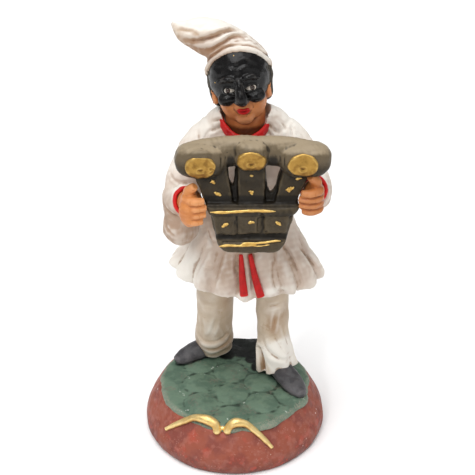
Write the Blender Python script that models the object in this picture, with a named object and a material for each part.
"""A painted terracotta figurine: a masked folk player in a white smock and a soft cap, on a round
mound of cobbles, holding a three-hammer wooden clapper in front of the chest.

Metres, +Z up. The origin is the middle of the base's underside, and the figure faces -Y.
"""

import math

import bmesh
import bpy
from mathutils import Euler, Matrix, Vector

# The base: a low round mound, sloping out from the cobbled ground to a bulge near the table.
BASE_RADIUS = 0.0433
BASE_HEIGHT = 0.0225
BASE_FOOT_INSET = 0.0012
GROUND_RADIUS = 0.0350
GROUND_DOME = 0.0012
COBBLE_SIZE = 0.0154
COBBLE_RISE = 0.0010
COBBLE_SINK = 0.0020
ORNAMENT_THICKNESS = 0.0013

# The figure, from the ground to the top of the cap, and where it stands on the base. Its pose is
# drawn in shares of this height.
FIGURE_HEIGHT = 0.1765
POSE_HEIGHT = 176.5
FIGURE_SHIFT_RIGHT = 0.0013
FIGURE_SHIFT_BACK = 0.0020
SKIRT_PLEAT_DEPTH = 0.0026
COLLAR_THICKNESS = 0.0012
COLLAR_WIDTH = 0.0019
CUFF_THICKNESS = 0.0010
HEAD_TILT = 8.0

# The clapper: three hammers side by side, held between two cross slats. Its outlines are drawn in
# shares of its own width.
CLAPPER_MIDDLE = (6.2, -22.5, 108.6)
CLAPPER_LEAN = math.radians(6.0)
CLAPPER_WIDTH = 0.0642
DRAWN_WIDTH = 64.2
HEAD_DEPTH = 0.0144
HEAD_FORWARD = 0.0004
BRIDGE_DEPTH = 0.0118
BRIDGE_BACK = 0.0012
HANDLE_DEPTH = 0.0070
WEB_DEPTH = 0.0040
WEB_BACK = 0.0009
DISC_THICKNESS = 0.0006
STUD_RADIUS = 0.0012
SLAT_DEPTH = 0.0124
PLATE_DEPTH = 0.0082
TAIL_PROUD = 0.0015
GRIP_LEFT = -0.0025
GRIP_RIGHT = 0.0016
GRIP_CLEARANCE = 0.0004

# How fine the clay is before it is thinned to a few faces.
CLAY_GRAIN = 0.0008
FIGURE_FACES = 7400
CLAPPER_FACES = 2300

UNIT = FIGURE_HEIGHT / POSE_HEIGHT


def at(x, y, z):
    """A place in the pose: x to the right, y back, z up from the ground, in shares of the height."""
    return Vector((FIGURE_SHIFT_RIGHT + x * UNIT, FIGURE_SHIFT_BACK + y * UNIT, BASE_HEIGHT + z * UNIT))


def clear_scene():
    for obj in list(bpy.data.objects):
        bpy.data.objects.remove(obj)


def paint(name, colour, roughness, metallic=0.0):
    material = bpy.data.materials.new(name)
    material.use_nodes = True
    shader = material.node_tree.nodes["Principled BSDF"]
    shader.inputs["Base Color"].default_value = (*colour, 1.0)
    shader.inputs["Roughness"].default_value = roughness
    shader.inputs["Metallic"].default_value = metallic
    return material


# Shapes that every part of the figure is built from. Each adds one closed skin to a bmesh.


def through(stations, share):
    """The value at a share of the way along a row of numbers or vectors, on a smooth curve."""
    last = len(stations) - 1
    place = share * last
    first = min(int(place), last - 1)
    t = place - first
    before = stations[max(first - 1, 0)]
    start = stations[first]
    end = stations[first + 1]
    after = stations[min(first + 2, last)]
    slope_in = (end - before) * 0.5
    slope_out = (after - start) * 0.5
    return (
        start * (2 * t**3 - 3 * t**2 + 1)
        + slope_in * (t**3 - 2 * t**2 + t)
        + end * (3 * t**2 - 2 * t**3)
        + slope_out * (t**3 - t**2)
    )


def skin(mesh, rings):
    """Joins a row of rings into one closed skin, with a fan of faces over each end."""
    rows = [[mesh.verts.new(point) for point in ring] for ring in rings]
    count = len(rows[0])
    for lower, upper in zip(rows, rows[1:]):
        for i in range(count):
            j = (i + 1) % count
            mesh.faces.new((lower[i], lower[j], upper[j], upper[i]))
    for row, backwards in ((rows[0], True), (rows[-1], False)):
        middle = mesh.verts.new(sum((v.co for v in row), Vector()) / count)
        for i in range(count):
            pair = (row[i], row[(i + 1) % count])
            if backwards:
                pair = pair[::-1]
            mesh.faces.new((*pair, middle))


def tube(mesh, path, halves, side, sides=20, rings=14, wave=None):
    """A limb or sleeve: oval rings square to a smooth path. halves holds each station's half
    width along side and across it, and wave(angle, share) swells or pinches a ring."""
    across = [Vector((a, b, 0.0)) for a, b in halves]
    rows = []
    for k in range(rings + 1):
        share = k / rings
        centre = through(path, share)
        step = 0.01
        ahead = through(path, min(share + step, 1.0)) - through(path, max(share - step, 0.0))
        ahead.normalize()
        first = (side - ahead * side.dot(ahead)).normalized()
        second = ahead.cross(first)
        half = through(across, share)
        row = []
        for i in range(sides):
            angle = math.tau * i / sides
            swell = wave(angle, share) if wave else 1.0
            row.append(
                centre
                + first * (half.x * swell * math.cos(angle))
                + second * (half.y * swell * math.sin(angle))
            )
        rows.append(row)
    skin(mesh, rows)


def egg(mesh, centre, halves, turn=(0.0, 0.0, 0.0), sides=20):
    """An ellipsoid. turn is in degrees about X, Y and Z."""
    turned = Euler([math.radians(a) for a in turn]).to_matrix().to_4x4()
    place = Matrix.Translation(centre) @ turned @ Matrix.Diagonal((*halves, 1.0))
    bmesh.ops.create_uvsphere(mesh, u_segments=sides, v_segments=sides // 2, radius=1.0, matrix=place)


def scaled(*numbers):
    """A row of half sizes, from shares of the height."""
    return [(a * UNIT, b * UNIT) for a, b in numbers]


# The base.


def ground_height(x, y):
    """The height of the cobbled top above the table, domed a little in the middle."""
    away = min(1.0, math.hypot(x, y) / GROUND_RADIUS)
    return BASE_HEIGHT + GROUND_DOME * (1.0 - away**2)


BASE_PROFILE = (
    # share of the way from the ground's edge to the bulge, and share of the height
    (0.24, 0.87),
    (0.52, 0.69),
    (0.78, 0.51),
    (0.94, 0.355),
    (1.00, 0.22),
    (0.98, 0.10),
)


def add_base(mesh):
    slope = BASE_RADIUS - GROUND_RADIUS
    foot = BASE_RADIUS - BASE_FOOT_INSET
    profile = [(GROUND_RADIUS * 0.45, BASE_HEIGHT + GROUND_DOME * 0.8), (GROUND_RADIUS * 0.92, BASE_HEIGHT)]
    profile += [(GROUND_RADIUS, BASE_HEIGHT * 0.975)]
    profile += [(GROUND_RADIUS + slope * out, BASE_HEIGHT * up) for out, up in BASE_PROFILE]
    profile += [(foot, 0.0), (foot * 0.5, 0.0)]
    sides = 64
    turns = [math.tau * i / sides for i in range(sides)]
    skin(mesh, [[Vector((r * math.cos(a), r * math.sin(a), z)) for a in turns] for r, z in profile])


def cobble_centres():
    """Places of the stones, in staggered columns that stop short of the rim."""
    reach = GROUND_RADIUS - COBBLE_SIZE * 0.42
    column_gap = COBBLE_SIZE * 0.88
    for column in range(-3, 4):
        for row in range(-3, 4):
            x = column_gap * (column - 0.15) + 0.06 * COBBLE_SIZE * math.sin(5.0 * row + column)
            stagger = 0.5 * (column % 2)
            y = COBBLE_SIZE * (row + 0.26 - stagger) + 0.07 * COBBLE_SIZE * math.sin(3.0 * column + row)
            if math.hypot(x, y) < reach:
                yield x, y


def add_cobbles(mesh):
    half = COBBLE_SIZE * 0.66
    thick = COBBLE_RISE + COBBLE_SINK
    for x, y in cobble_centres():
        top = ground_height(x, y) + COBBLE_RISE
        egg(mesh, Vector((x, y, top - thick)), (half, half * 0.96, thick), sides=16)


def on_base_side(angle, height):
    """A point on the base's side, at an angle from straight ahead and a share of its height."""
    slope = BASE_RADIUS - GROUND_RADIUS
    points = ((0.0, 0.975), *BASE_PROFILE)
    for (out_a, up_a), (out_b, up_b) in zip(points, points[1:]):
        if up_b <= height:
            share = min(1.0, (up_a - height) / (up_a - up_b))
            reach = GROUND_RADIUS + slope * (out_a + (out_b - out_a) * max(0.0, share))
            break
    direction = angle - math.pi / 2
    return Vector((reach * math.cos(direction), reach * math.sin(direction), BASE_HEIGHT * height))


ORNAMENT_HORNS = (
    # angle from straight ahead, share of the base's height, and how far it stands proud
    (
        (-0.22, 0.82, 0.0004), (-0.25, 0.95, 0.0010), (-0.35, 0.97, 0.0020), (-0.45, 0.97, 0.0020),
        (-0.57, 0.95, 0.0011), (-0.73, 0.79, 0.0007), (-0.90, 0.54, 0.0005),
    ),
    (
        (-0.09, 0.85, 0.0004), (-0.06, 0.95, 0.0010), (0.00, 0.97, 0.0022), (0.07, 0.97, 0.0022),
        (0.16, 0.95, 0.0012), (0.29, 0.79, 0.0007), (0.43, 0.50, 0.0005),
    ),
)
HORN_SWELL = (1.5, 1.9, 2.0, 1.75, 1.4, 1.2, 0.8)


def add_ornament(mesh):
    """Two gilt horns on the front of the rim, curling towards each other."""
    for horn in ORNAMENT_HORNS:
        path = [on_base_side(angle, height) + Vector((0, 0, proud)) for angle, height, proud in horn]
        halves = [(ORNAMENT_THICKNESS * swell,) * 2 for swell in HORN_SWELL]
        tube(mesh, path, halves, Vector((0, 0, 1)), sides=10, rings=24)


# The player's clothes and body.


def add_shoe(mesh, heel, toe):
    """A low slipper from heel to toe, both on the ground."""
    along = (toe - heel).normalized()
    rise = Vector((0, 0, UNIT))
    length = (toe - heel).length
    path = [
        heel + rise * 3.0,
        heel + along * length * 0.18 + rise * 4.6,
        heel + along * length * 0.48 + rise * 4.0,
        heel + along * length * 0.80 + rise * 2.6,
        toe + rise * 1.8,
    ]
    halves = scaled((2.2, 2.6), (4.9, 4.8), (5.6, 4.4), (5.2, 3.2), (2.4, 1.8))
    tube(mesh, path, halves, along.cross(rise), sides=16, rings=10)


def add_shoes(mesh):
    add_shoe(mesh, at(-8.5, 22.5, 0.5), at(-30.5, 10.5, 0.2))
    add_shoe(mesh, at(15.5, 10.0, 0.5), at(30.5, -17.0, 0.2))


def add_trousers(mesh):
    """Two loose legs that bunch up over the shoes."""

    def bunched(angle, share):
        low = max(0.0, 1.0 - share * 2.2)
        return 1.0 + 0.05 * math.cos(4 * angle + 1.0) * (1.0 - share) + 0.05 * low * math.sin(26.0 * share)

    def fluted(angle, share):
        low = max(0.0, 1.0 - share * 1.8)
        return 1.0 + 0.04 * math.cos(5 * angle) * (1.0 - share) + 0.09 * low * math.cos(7 * angle + 0.6)

    left = [
        at(-11.5, 19.5, 4.5), at(-11.6, 18, 11), at(-11.0, 14.5, 25), at(-10.7, 12.5, 42), at(-10.2, 11, 60),
    ]
    halves = scaled((8.0, 7.8), (9.2, 8.8), (8.5, 8.2), (8.9, 8.8), (9.6, 9.4))
    tube(mesh, left, halves, Vector((1, 0, 0)), sides=28, rings=22, wave=bunched)
    right = [at(18.6, 4.0, 3.0), at(18.2, 4.6, 10), at(17.0, 6.5, 22), at(16.4, 8.0, 40), at(15.8, 9.5, 60)]
    halves = scaled((9.8, 9.4), (8.9, 8.8), (7.7, 7.8), (7.8, 8.0), (8.6, 8.8))
    tube(mesh, right, halves, Vector((1, 0, 0)), sides=28, rings=22, wave=fluted)


SMOCK_STATIONS = (
    # height, middle x, middle y, half width, half depth
    (49.5, 4.4, 10.5, 33.6, 17.0),
    (54.0, 4.3, 10.5, 34.4, 17.6),
    (60.0, 3.8, 10.5, 32.2, 17.2),
    (67.0, 3.8, 10.3, 28.6, 16.0),
    (75.0, 3.9, 10.0, 25.0, 14.6),
    (83.0, 4.0, 9.5, 21.5, 13.0),
    (95.0, 4.0, 9.0, 19.5, 12.4),
    (110.0, 4.2, 8.8, 20.5, 12.2),
    (121.0, 4.6, 8.8, 22.0, 11.6),
    (128.0, 4.6, 8.8, 21.0, 11.0),
    (133.0, 4.4, 8.6, 18.0, 9.8),
    (136.5, 4.0, 8.2, 14.0, 8.8),
    (139.0, 3.6, 7.6, 9.0, 7.0),
)


PLEAT_VALLEYS = (-162, -129, -116, -98, -84, -64, -46, -17, 6, 30, 54, 78, 102, 126, 150, 174)
TYPICAL_PLEAT = 22


def pleat(angle):
    """From -1 in the valley between two pleats to about 1 on a pleat's round ridge."""
    start = PLEAT_VALLEYS[0]
    degrees = (math.degrees(angle) - start) % 360 + start
    ends = (*PLEAT_VALLEYS, start + 360)
    for low, high in zip(ends, ends[1:]):
        if degrees <= high:
            share = (degrees - low) / (high - low)
            size = ((high - low) / TYPICAL_PLEAT) ** 0.4
            return (2.0 * math.sin(math.pi * share) ** 0.8 - 1.0) * size
    return -1.0


def hem_lift(angle):
    """How far the hem rises above its lowest, in shares of the height: most at the left side."""
    side = abs(math.cos(angle)) ** 3
    most = 8.0 if math.cos(angle) < 0 else 1.5
    point = 1.8 * math.exp(-(((math.degrees(angle) % 360 - 269) / 7) ** 2))
    return most * side + 0.8 * pleat(angle) - point


def add_smock(mesh):
    """The smock from the neck to the flared, pleated hem."""
    sides = 104
    steps = 44
    rows = [Vector((height, x, y)) for height, x, y, _, _ in SMOCK_STATIONS]
    widths = [Vector((wide, deep, 0.0)) for _, _, _, wide, deep in SMOCK_STATIONS]
    rings = []
    for k in range(steps + 1):
        share = k / steps
        height, x, y = through(rows, share)
        half = through(widths, share)
        flare = max(0.0, 1.0 - share * 2.6) ** 0.8
        ring = []
        for i in range(sides):
            angle = math.tau * i / sides
            out = Vector((math.cos(angle), math.sin(angle), 0.0))
            lift = hem_lift(angle) * max(0.0, 1.0 - share * 4.0)
            place = at(x + half.x * out.x, y + half.y * out.y, height + lift)
            ring.append(place + out * (SKIRT_PLEAT_DEPTH * pleat(angle) * flare))
        rings.append(ring)
    skin(mesh, rings)


def add_ribbons(mesh):
    """The two loose ends of the red tie, hanging down the front."""
    left = [at(1.6, -4.6, 72.0), at(2.2, -7.1, 61.0), at(3.0, -9.0, 52.4)]
    right = [at(5.6, -4.6, 72.0), at(8.0, -7.1, 61.0), at(10.6, -8.8, 51.8)]
    for path in (left, right):
        tube(mesh, path, scaled((0.9, 1.6), (1.5, 1.5), (1.9, 1.3)), Vector((1, 0, 0)), sides=8, rings=6)


def add_sleeves(mesh):
    """Wide sleeves, slack under the forearms."""
    arm = [at(-9, 9, 126), at(-16.5, 7.5, 119), at(-22.5, 3.0, 108), at(-24.6, -2.0, 97), at(-24.8, -4.0, 88)]
    halves = scaled((9.5, 8.6), (9.6, 8.2), (9.4, 8.2), (9.6, 8.0), (8.8, 7.0))
    tube(mesh, arm, halves, Vector((0, 1, 0)), sides=22, rings=16)
    egg(mesh, at(-25.0, -4.5, 86.5), (8.2 * UNIT, 8.6 * UNIT, 9.0 * UNIT), sides=22)
    forearm = [at(-25.0, 2.0, 97), at(-24.5, -5.0, 99), at(-22.4, -11.8, 103.0)]
    tube(mesh, forearm, scaled((9.0, 8.5), (8.4, 7.6), (6.4, 6.0)), Vector((0, 0, 1)), sides=22, rings=10)

    arm = [at(18, 9, 126), at(25.5, 7.5, 119), at(30.5, 3.0, 111), at(32.6, -2.0, 105.5), at(33.6, -5.0, 102)]
    halves = scaled((9.5, 8.6), (9.4, 7.8), (8.8, 7.2), (8.0, 6.8), (6.0, 5.6))
    tube(mesh, arm, halves, Vector((0, 1, 0)), sides=22, rings=16)
    forearm = [at(33.6, 2.0, 105.6), at(33.8, -4.6, 104.8), at(33.2, -11.4, 106.2)]
    tube(mesh, forearm, scaled((8.2, 7.2), (8.0, 7.2), (6.9, 6.6)), Vector((0, 0, 1)), sides=22, rings=10)


WRISTS = {-1: (-22.0, -12.6, 103.0), 1: (32.6, -12.0, 108.2)}


def hand_middle(sign):
    """The middle of a hand, beside the clapper's upper slat: the sign is -1 on the left, 1 on the right."""
    height = GRIP_LEFT if sign < 0 else GRIP_RIGHT
    edge = on_clapper(sign * GRIP_REACH, 0.0, height / CLAPPER_UNIT)
    return edge + Vector((sign * 5.2, 1.5, 0.6)) * UNIT


def add_cuffs(mesh):
    """The red edge of each sleeve, a ring round the wrist."""
    for sign, wrist in WRISTS.items():
        middle = at(*wrist)
        along = (hand_middle(sign) - middle).normalized()
        first = along.cross(Vector((0, 0, 1))).normalized()
        second = along.cross(first)
        loop = []
        for i in range(21):
            angle = math.tau * i / 20
            loop.append(middle + (first * (5.0 * math.cos(angle)) + second * (5.6 * math.sin(angle))) * UNIT)
        tube(mesh, loop, [(CUFF_THICKNESS, CUFF_THICKNESS)] * len(loop), along, sides=8, rings=30)


def add_hands(mesh):
    """Fists at the clapper's edges: palm, four stacked fingers, and a thumb along the top."""
    front = Vector((0, -1, 0)) * UNIT
    rise = Vector((0, 0, 1)) * UNIT
    for sign, wrist in WRISTS.items():
        out = Vector((sign, 0, 0)) * UNIT
        palm = hand_middle(sign)
        start = at(*wrist)
        arm = scaled((4.4, 4.2), (5.0, 4.4), (5.6, 4.6))
        tube(mesh, [start, (start + palm) / 2, palm], arm, rise, sides=14, rings=6)
        egg(mesh, palm, (4.6 * UNIT, 5.6 * UNIT, 6.6 * UNIT), sides=16)
        knuckles = palm + out * 0.4 + front * 4.4 - rise * 1.4
        egg(mesh, knuckles, (3.9 * UNIT, 3.9 * UNIT, 6.9 * UNIT), sides=16)
        spread = 3.1 if sign < 0 else 2.7
        for finger in range(4):
            level = rise * (spread * (1.5 - finger) - 0.4)
            reach = (0.0, 1.0, 0.8, -0.6)[finger]
            path = [
                palm + out * 2.6 + level * 0.9,
                palm + out * 2.4 + front * 5.0 + level,
                palm - out * 1.6 + front * 7.4 + level,
                palm - out * (5.4 + reach) + front * 6.6 + level,
            ]
            tube(mesh, path, scaled((1.9, 2.1), (2.0, 2.2), (2.0, 2.2), (1.5, 1.6)), rise, sides=10, rings=8)
        thumb = [
            palm + rise * 3.0 + front * 1.0,
            palm + rise * 7.2 + front * 3.4 + out * 0.6,
            palm + rise * 10.2 + front * 4.8 - out * 1.8,
        ]
        tube(mesh, thumb, scaled((3.0, 3.0), (2.6, 2.5), (1.7, 1.7)), Vector((1, 0, 0)), sides=10, rings=8)


def add_neck(mesh):
    path = [at(3.6, 7.5, 126), at(3.4, 6.5, 135), at(3.0, 6.0, 144)]
    tube(mesh, path, scaled((9.0, 8.0), (8.6, 8.0), (8.6, 8.4)), Vector((1, 0, 0)), sides=18, rings=6)


def add_collar(mesh):
    """The red band at the neck, dipping to a point in front."""
    loop = []
    for i in range(21):
        angle = math.tau * i / 20
        dip = max(0.0, -math.sin(angle)) ** 1.3
        nape = max(0.0, math.sin(angle))
        height = 134.4 - 6.8 * dip - 1.6 * nape
        loop.append(at(3.4 + 10.8 * math.cos(angle), 6.2 + 10.4 * math.sin(angle), height))
    band = [(COLLAR_WIDTH, COLLAR_THICKNESS)] * len(loop)
    tube(mesh, loop, band, Vector((0, 0, 1)), sides=8, rings=40)


# The head. Its parts are placed from its own middle, which lies level with the eyes.


def head_place(x, y, z):
    turned = Matrix.Rotation(math.radians(-HEAD_TILT), 3, "Y") @ Vector((x, y, z))
    return at(1.0 + turned.x, 5.0 + turned.y, 151.0 + turned.z)


def head_egg(mesh, middle, halves, sides=20):
    halves = [half * UNIT for half in halves]
    egg(mesh, head_place(*middle), halves, (0.0, -HEAD_TILT, 0.0), sides=sides)


def add_head(mesh):
    head_egg(mesh, (0.0, 1.5, 2.0), (12.4, 12.4, 15.0), sides=24)
    head_egg(mesh, (0.3, -1.2, -7.6), (9.8, 9.2, 10.0), sides=24)
    head_egg(mesh, (0.3, -7.0, -13.4), (4.2, 3.4, 3.4), sides=14)
    for sign in (-1, 1):
        head_egg(mesh, (sign * 11.8, -1.6, -5.0), (2.0, 2.3, 3.6), sides=12)


def add_hair(mesh):
    """Close black hair, from under the cap to the nape."""
    head_egg(mesh, (0.0, 3.0, 1.5), (13.8, 12.6, 16.2), sides=24)
    for sign in (-1, 1):
        head_egg(mesh, (sign * 10.9, 3.4, -5.5), (2.9, 6.5, 8.0), sides=16)


def add_mask(mesh):
    """A plain half mask over the brow, cheeks and a short nose."""
    head_egg(mesh, (0.0, 1.4, 3.4), (13.1, 13.1, 13.6), sides=24)
    for sign in (-1, 1):
        head_egg(mesh, (0.1 + sign * 5.6, -8.6, -4.2), (4.5, 3.2, 2.9), sides=14)
        head_egg(mesh, (0.1 + sign * 5.0, -11.0, 4.8), (4.8, 1.7, 1.4), sides=14)
    ridge = ((-11.6, 4.8), (-13.4, 1.0), (-14.8, -2.8), (-12.8, -5.4))
    nose = [head_place(0.1, y, z) for y, z in ridge]
    halves = scaled((1.6, 2.0), (2.0, 2.3), (2.8, 2.4), (2.4, 1.5))
    tube(mesh, nose, halves, Vector((1, 0, 0)), sides=12, rings=10)


def add_mouth(mesh):
    for height, half in ((-8.6, 0.9), (-10.0, 1.1)):
        head_egg(mesh, (0.3, -10.0, height), (3.3, 1.6, half), sides=12)


CAP_STATIONS = (
    # middle, then the half widths across the cap and along it
    (1.0, 8.6, 154.6, 12.4, 12.2),
    (-1.2, 10.0, 159.2, 11.2, 11.6),
    (-4.4, 10.6, 163.3, 9.9, 10.4),
    (-8.2, 10.4, 166.3, 9.0, 9.4),
    (-12.8, 10.2, 168.3, 7.9, 8.4),
    (-17.4, 10.0, 170.0, 6.5, 7.0),
    (-22.6, 10.0, 171.5, 4.5, 4.9),
    (-27.2, 10.0, 174.6, 1.0, 1.0),
)


def brim_height(x, y):
    """How high the cap's edge lies: steep over the brow, and flatter round the back."""
    return 164.4 + 0.16 * x - 1.58 * min(y, 5.0) - 0.55 * max(y - 5.0, 0.0)


def brim(above):
    """A loop round the head that lies on the cap, a height above its edge."""
    loop = []
    for i in range(-20, 21):
        turn = math.radians(-90 + 9 * i)
        away = 14.0
        for _ in range(30):
            x, y = 1.6 + away * math.cos(turn), 8.2 + away * math.sin(turn)
            height = brim_height(x, y) + above
            swell = (height - 153.0) / 17.2
            away = 0.5 * (away + 14.0 * math.sqrt(max(0.1, 1.0 - swell**2)))
        loop.append(at(x, y, height))
    return loop


def add_cap(mesh):
    """A soft tall cap: a raised edge round the brow, and a crown that flops over to the left."""

    def creased(angle, share):
        return 1.0 + 0.04 * math.sin(11.0 * share + 1.4 * math.cos(angle)) * min(1.0, 3.0 * share)

    path = [at(x, y, z) for x, y, z, _, _ in CAP_STATIONS]
    halves = scaled(*((deep, wide) for _, _, _, wide, deep in CAP_STATIONS))
    tube(mesh, path, halves, Vector((0, 1, 0)), sides=28, rings=34, wave=creased)
    edge = brim(2.4)
    tube(mesh, edge, scaled((2.6, 2.0)) * len(edge), Vector((0, 0, 1)), sides=10, rings=48)


# The clapper, in its own leaning frame. Outlines are x and z from its middle, in shares of its width.
CLAPPER_UNIT = CLAPPER_WIDTH / DRAWN_WIDTH
HEAD_LEVEL = 20.5
HEAD_DROOP = 4.6
HEAD_SPAN = 31.05
HEADS = (
    # middle x and z, half width and half height, how square it is
    (-21.4, 18.1, 10.7, 7.3, 2.6),
    (-0.5, 20.7, 6.8, 6.2, 3.2),
    (21.5, 18.4, 10.9, 7.3, 2.6),
)
DISCS = (
    # middle x and z, half width and half height
    (-21.3, 16.7, 6.3, 5.1),
    (-0.5, 19.0, 6.2, 4.6),
    (20.4, 17.8, 6.3, 4.9),
)
BOSSES = ((-21.2, 22.2, 4.7, 2.2), (25.2, 21.6, 2.7, 1.7))
HANDLES = (
    ((-24.8, 14.0), (-15.0, 17.5), (-10.8, 17.5), (-8.5, 3.0), (-8.0, -6.0), (-17.0, -6.0), (-20.8, 3.0)),
    ((-6.3, 17.0), (5.3, 17.0), (5.0, -6.0), (-5.8, -6.0)),
    ((12.3, 14.5), (24.6, 14.5), (19.2, 3.0), (16.5, -6.0), (8.6, -6.0), (10.0, 3.0)),
)
WEBS = (
    ((-12.0, 16.0), (-10.9, 15.5), (-8.5, 9.4), (-7.0, 15.5), (-5.0, 16.0), (-5.0, -4.0), (-12.0, -4.0)),
    (
        (3.0, 17.0), (5.4, 16.5), (6.2, 8.5), (7.7, 5.4), (9.7, 8.5), (12.0, 16.5), (14.0, 17.0),
        (13.0, -4.0), (3.0, -4.0),
    ),
)
UPPER_SLAT = ((-19.8, 0.2), (19.8, 0.2), (18.2, -5.0), (-18.0, -5.0))
GRIP_REACH = 20.25
PLATE = (
    (-18.6, 0.0), (18.6, 0.0), (17.0, -6.0), (15.0, -13.2), (14.4, -17.0),
    (-15.0, -17.0), (-15.7, -13.2), (-17.4, -6.0),
)
TAILS = (
    ((-16.5, -4.5), (-6.9, -4.5), (-6.8, -13.7), (-15.1, -14.1)),
    ((-6.1, -4.5), (3.1, -4.5), (2.9, -13.0), (-5.9, -13.5)),
    ((5.1, -4.5), (15.3, -4.5), (14.4, -12.5), (5.1, -13.1)),
)
LOWER_SLAT = (
    (-15.2, -15.6), (14.5, -15.6), (13.6, -18.8), (11.0, -21.4), (8.5, -22.0),
    (-9.5, -22.0), (-12.0, -21.4), (-14.4, -18.8),
)
HANDLE_STUDS = ((-16.5, 9.4), (-14.3, 4.1), (-0.3, 13.2), (-0.6, 5.0), (18.9, 10.9), (15.2, 6.3))
TAIL_STUDS = ((-11.2, -8.9), (-0.7, -7.8), (10.9, -8.1))


def on_clapper(x, depth, z):
    """A place on the clapper: x and z in shares of its width, and the depth behind its middle in metres."""
    frame = Matrix.Translation(at(*CLAPPER_MIDDLE)) @ Matrix.Rotation(-CLAPPER_LEAN, 4, "X")
    return frame @ Vector((x * CLAPPER_UNIT, depth, z * CLAPPER_UNIT))


def board(mesh, outline, front, back, soften=0.0):
    """A flat piece cut to an outline, from a front depth to a back one, with softened edges."""
    near = [mesh.verts.new(on_clapper(x, front, z)) for x, z in outline]
    far = [mesh.verts.new(on_clapper(x, back, z)) for x, z in outline]
    mesh.faces.new(near)
    mesh.faces.new(far[::-1])
    for i in range(len(outline)):
        j = (i + 1) % len(outline)
        mesh.faces.new((near[j], near[i], far[i], far[j]))
    if soften:
        edges = {edge for vert in near + far for edge in vert.link_edges}
        bmesh.ops.bevel(mesh, geom=list(edges), offset=soften, segments=2, profile=0.5, affect="EDGES")


def pad(mesh, middle, halves, square, sides=24):
    """A ball between round and square: 2 is a plain ball. Its middle and halves are x, depth and z."""
    made = bmesh.ops.create_uvsphere(mesh, u_segments=sides, v_segments=sides // 2, radius=1.0)
    for vert in made["verts"]:
        size = sum(abs(part) ** square for part in vert.co) ** (1 / square)
        x, depth, z = (part / size * half for part, half in zip(vert.co, halves))
        vert.co = on_clapper(middle[0] + x, middle[1] + depth, middle[2] + z)


def head_height(x):
    """The height of the row of hammer heads, which droops a little towards its ends."""
    return HEAD_LEVEL - HEAD_DROOP * (x / HEAD_SPAN) ** 2


def add_heads(mesh):
    """The bridge of the three hammer heads, and the block of each head in front of it."""
    arch = []
    for share in (-1.0, -0.86, -0.45, 0.0, 0.45, 0.86, 1.0):
        x = share * HEAD_SPAN
        arch.append(on_clapper(x, BRIDGE_BACK, head_height(x) + 1.2))
    tall = 7.5 * CLAPPER_UNIT
    deep = BRIDGE_DEPTH / 2
    halves = [(tall * grow, deep * grow) for grow in (0.45, 0.86, 0.88, 0.84, 0.88, 0.86, 0.45)]
    tube(mesh, arch, halves, Vector((0, 0, 1)), sides=16, rings=26)
    for x, z, wide, tall, square in HEADS:
        pad(mesh, (x, -HEAD_FORWARD, z), (wide, HEAD_DEPTH / 2, tall), square)
    for x, z, wide, tall in BOSSES:
        pad(mesh, (x, -HEAD_DEPTH * 0.42, z), (wide, HEAD_DEPTH * 0.13, tall), 2.0, sides=12)


def head_front(head, x, z):
    """The depth of a hammer head's front face at a place."""
    middle_x, middle_z, wide, tall, square = head
    rest = 1.0 - abs((x - middle_x) / wide) ** square - abs((z - middle_z) / tall) ** square
    return -HEAD_FORWARD - HEAD_DEPTH / 2 * max(0.02, rest) ** (1 / square)


def add_discs(mesh):
    """The gilt face of each hammer head: a thin shallow dish that follows the head."""
    for head, (x, z, wide, tall) in zip(HEADS, DISCS):
        rings = []
        for share, proud in ((0.3, 0.3), (0.75, 0.7), (0.95, 1.0), (1.0, 0.4), (1.0, -2.0), (0.4, -2.0)):
            ring = []
            for i in range(20):
                angle = math.tau * i / 20
                across = x + wide * share * math.cos(angle)
                up = z + tall * share * math.sin(angle)
                depth = head_front(head, across, up) - DISC_THICKNESS * proud
                ring.append(on_clapper(across, depth, up))
            rings.append(ring)
        skin(mesh, rings)


def add_boards(mesh):
    """The three handles with the webs between them, the two slats, and the plate with the tails."""
    half = HANDLE_DEPTH / 2
    for outline in HANDLES:
        board(mesh, outline, -half, half, HANDLE_DEPTH * 0.13)
    for outline in WEBS:
        board(mesh, outline, half - WEB_BACK - WEB_DEPTH, half - WEB_BACK)
    board(mesh, UPPER_SLAT, -SLAT_DEPTH / 2, SLAT_DEPTH / 2, SLAT_DEPTH * 0.12)
    board(mesh, PLATE, half - PLATE_DEPTH, half, PLATE_DEPTH * 0.12)
    for outline in TAILS:
        board(mesh, outline, half - PLATE_DEPTH - TAIL_PROUD, -half, TAIL_PROUD * 0.4)
    board(mesh, LOWER_SLAT, -SLAT_DEPTH / 2, SLAT_DEPTH * 0.46, SLAT_DEPTH * 0.13)


def add_studs(mesh):
    tail_front = HANDLE_DEPTH / 2 - PLATE_DEPTH - TAIL_PROUD
    for places, front in ((HANDLE_STUDS, -HANDLE_DEPTH / 2), (TAIL_STUDS, tail_front)):
        for x, z in places:
            egg(mesh, on_clapper(x, front + STUD_RADIUS * 0.3, z), (STUD_RADIUS,) * 3, sides=8)


# The two fired pieces.


def clay_object(name, mesh, material, faces):
    """Presses the lumps of a bmesh into one clay body, smooths it, and thins it to a number of faces."""
    bmesh.ops.recalc_face_normals(mesh, faces=mesh.faces)
    data = bpy.data.meshes.new(name)
    mesh.to_mesh(data)
    mesh.free()
    obj = bpy.data.objects.new(name, data)
    bpy.context.scene.collection.objects.link(obj)
    fuse = obj.modifiers.new("fuse", "REMESH")
    fuse.mode = "VOXEL"
    fuse.voxel_size = CLAY_GRAIN
    soften = obj.modifiers.new("soften", "SMOOTH")
    soften.factor = 0.5
    soften.iterations = 2
    graph = bpy.context.evaluated_depsgraph_get()
    obj.data = bpy.data.meshes.new_from_object(obj.evaluated_get(graph))
    obj.modifiers.clear()
    obj.data.materials.clear()
    obj.data.materials.append(material)
    thinning = obj.modifiers.new("thin", "DECIMATE")
    thinning.ratio = min(1.0, faces / (2 * len(obj.data.polygons)))
    return obj


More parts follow.
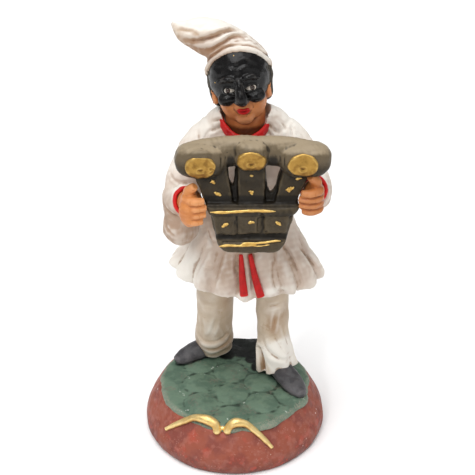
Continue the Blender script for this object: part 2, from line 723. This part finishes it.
def cut(obj, cutter, name):
    cutter.hide_render = True
    cutter.display_type = "WIRE"
    modifier = obj.modifiers.new(name, "BOOLEAN")
    modifier.operation = "DIFFERENCE"
    modifier.solver = "EXACT"
    modifier.object = cutter


def make_clapper():
    mesh = bmesh.new()
    add_heads(mesh)
    add_discs(mesh)
    add_boards(mesh)
    add_studs(mesh)
    umber = paint("clapper_umber", (0.10, 0.085, 0.06), 0.55)
    return clay_object("clapper", mesh, umber, CLAPPER_FACES)


def make_grip_cutter(clapper):
    """The clapper grown by the clearance: what the hands leave free."""
    graph = bpy.context.evaluated_depsgraph_get()
    data = bpy.data.meshes.new_from_object(clapper.evaluated_get(graph))
    cutter = bpy.data.objects.new("grip_cutter", data)
    bpy.context.scene.collection.objects.link(cutter)
    for vert in data.vertices:
        vert.co += vert.normal * GRIP_CLEARANCE
    return cutter


def make_floor_cutter():
    """A slab under the table plane, which leaves the underside flat."""
    mesh = bmesh.new()
    reach = BASE_RADIUS * 3
    place = Matrix.Translation((0, 0, -reach / 2)) @ Matrix.Diagonal((reach, reach, reach, 1.0))
    bmesh.ops.create_cube(mesh, size=1.0, matrix=place)
    data = bpy.data.meshes.new("floor_cutter")
    mesh.to_mesh(data)
    mesh.free()
    cutter = bpy.data.objects.new("floor_cutter", data)
    bpy.context.scene.collection.objects.link(cutter)
    return cutter


def make_figure(clapper):
    mesh = bmesh.new()
    add_base(mesh)
    add_cobbles(mesh)
    add_ornament(mesh)
    add_shoes(mesh)
    add_trousers(mesh)
    add_smock(mesh)
    add_ribbons(mesh)
    add_sleeves(mesh)
    add_cuffs(mesh)
    add_hands(mesh)
    add_neck(mesh)
    add_collar(mesh)
    add_head(mesh)
    add_hair(mesh)
    add_mask(mesh)
    add_mouth(mesh)
    add_cap(mesh)
    cream = paint("figure_cream", (0.80, 0.74, 0.64), 0.6)
    figure = clay_object("figure", mesh, cream, FIGURE_FACES)
    cut(figure, make_grip_cutter(clapper), "free_the_clapper")
    cut(figure, make_floor_cutter(), "flat_underside")
    return figure


def main():
    clear_scene()
    make_figure(make_clapper())


main()
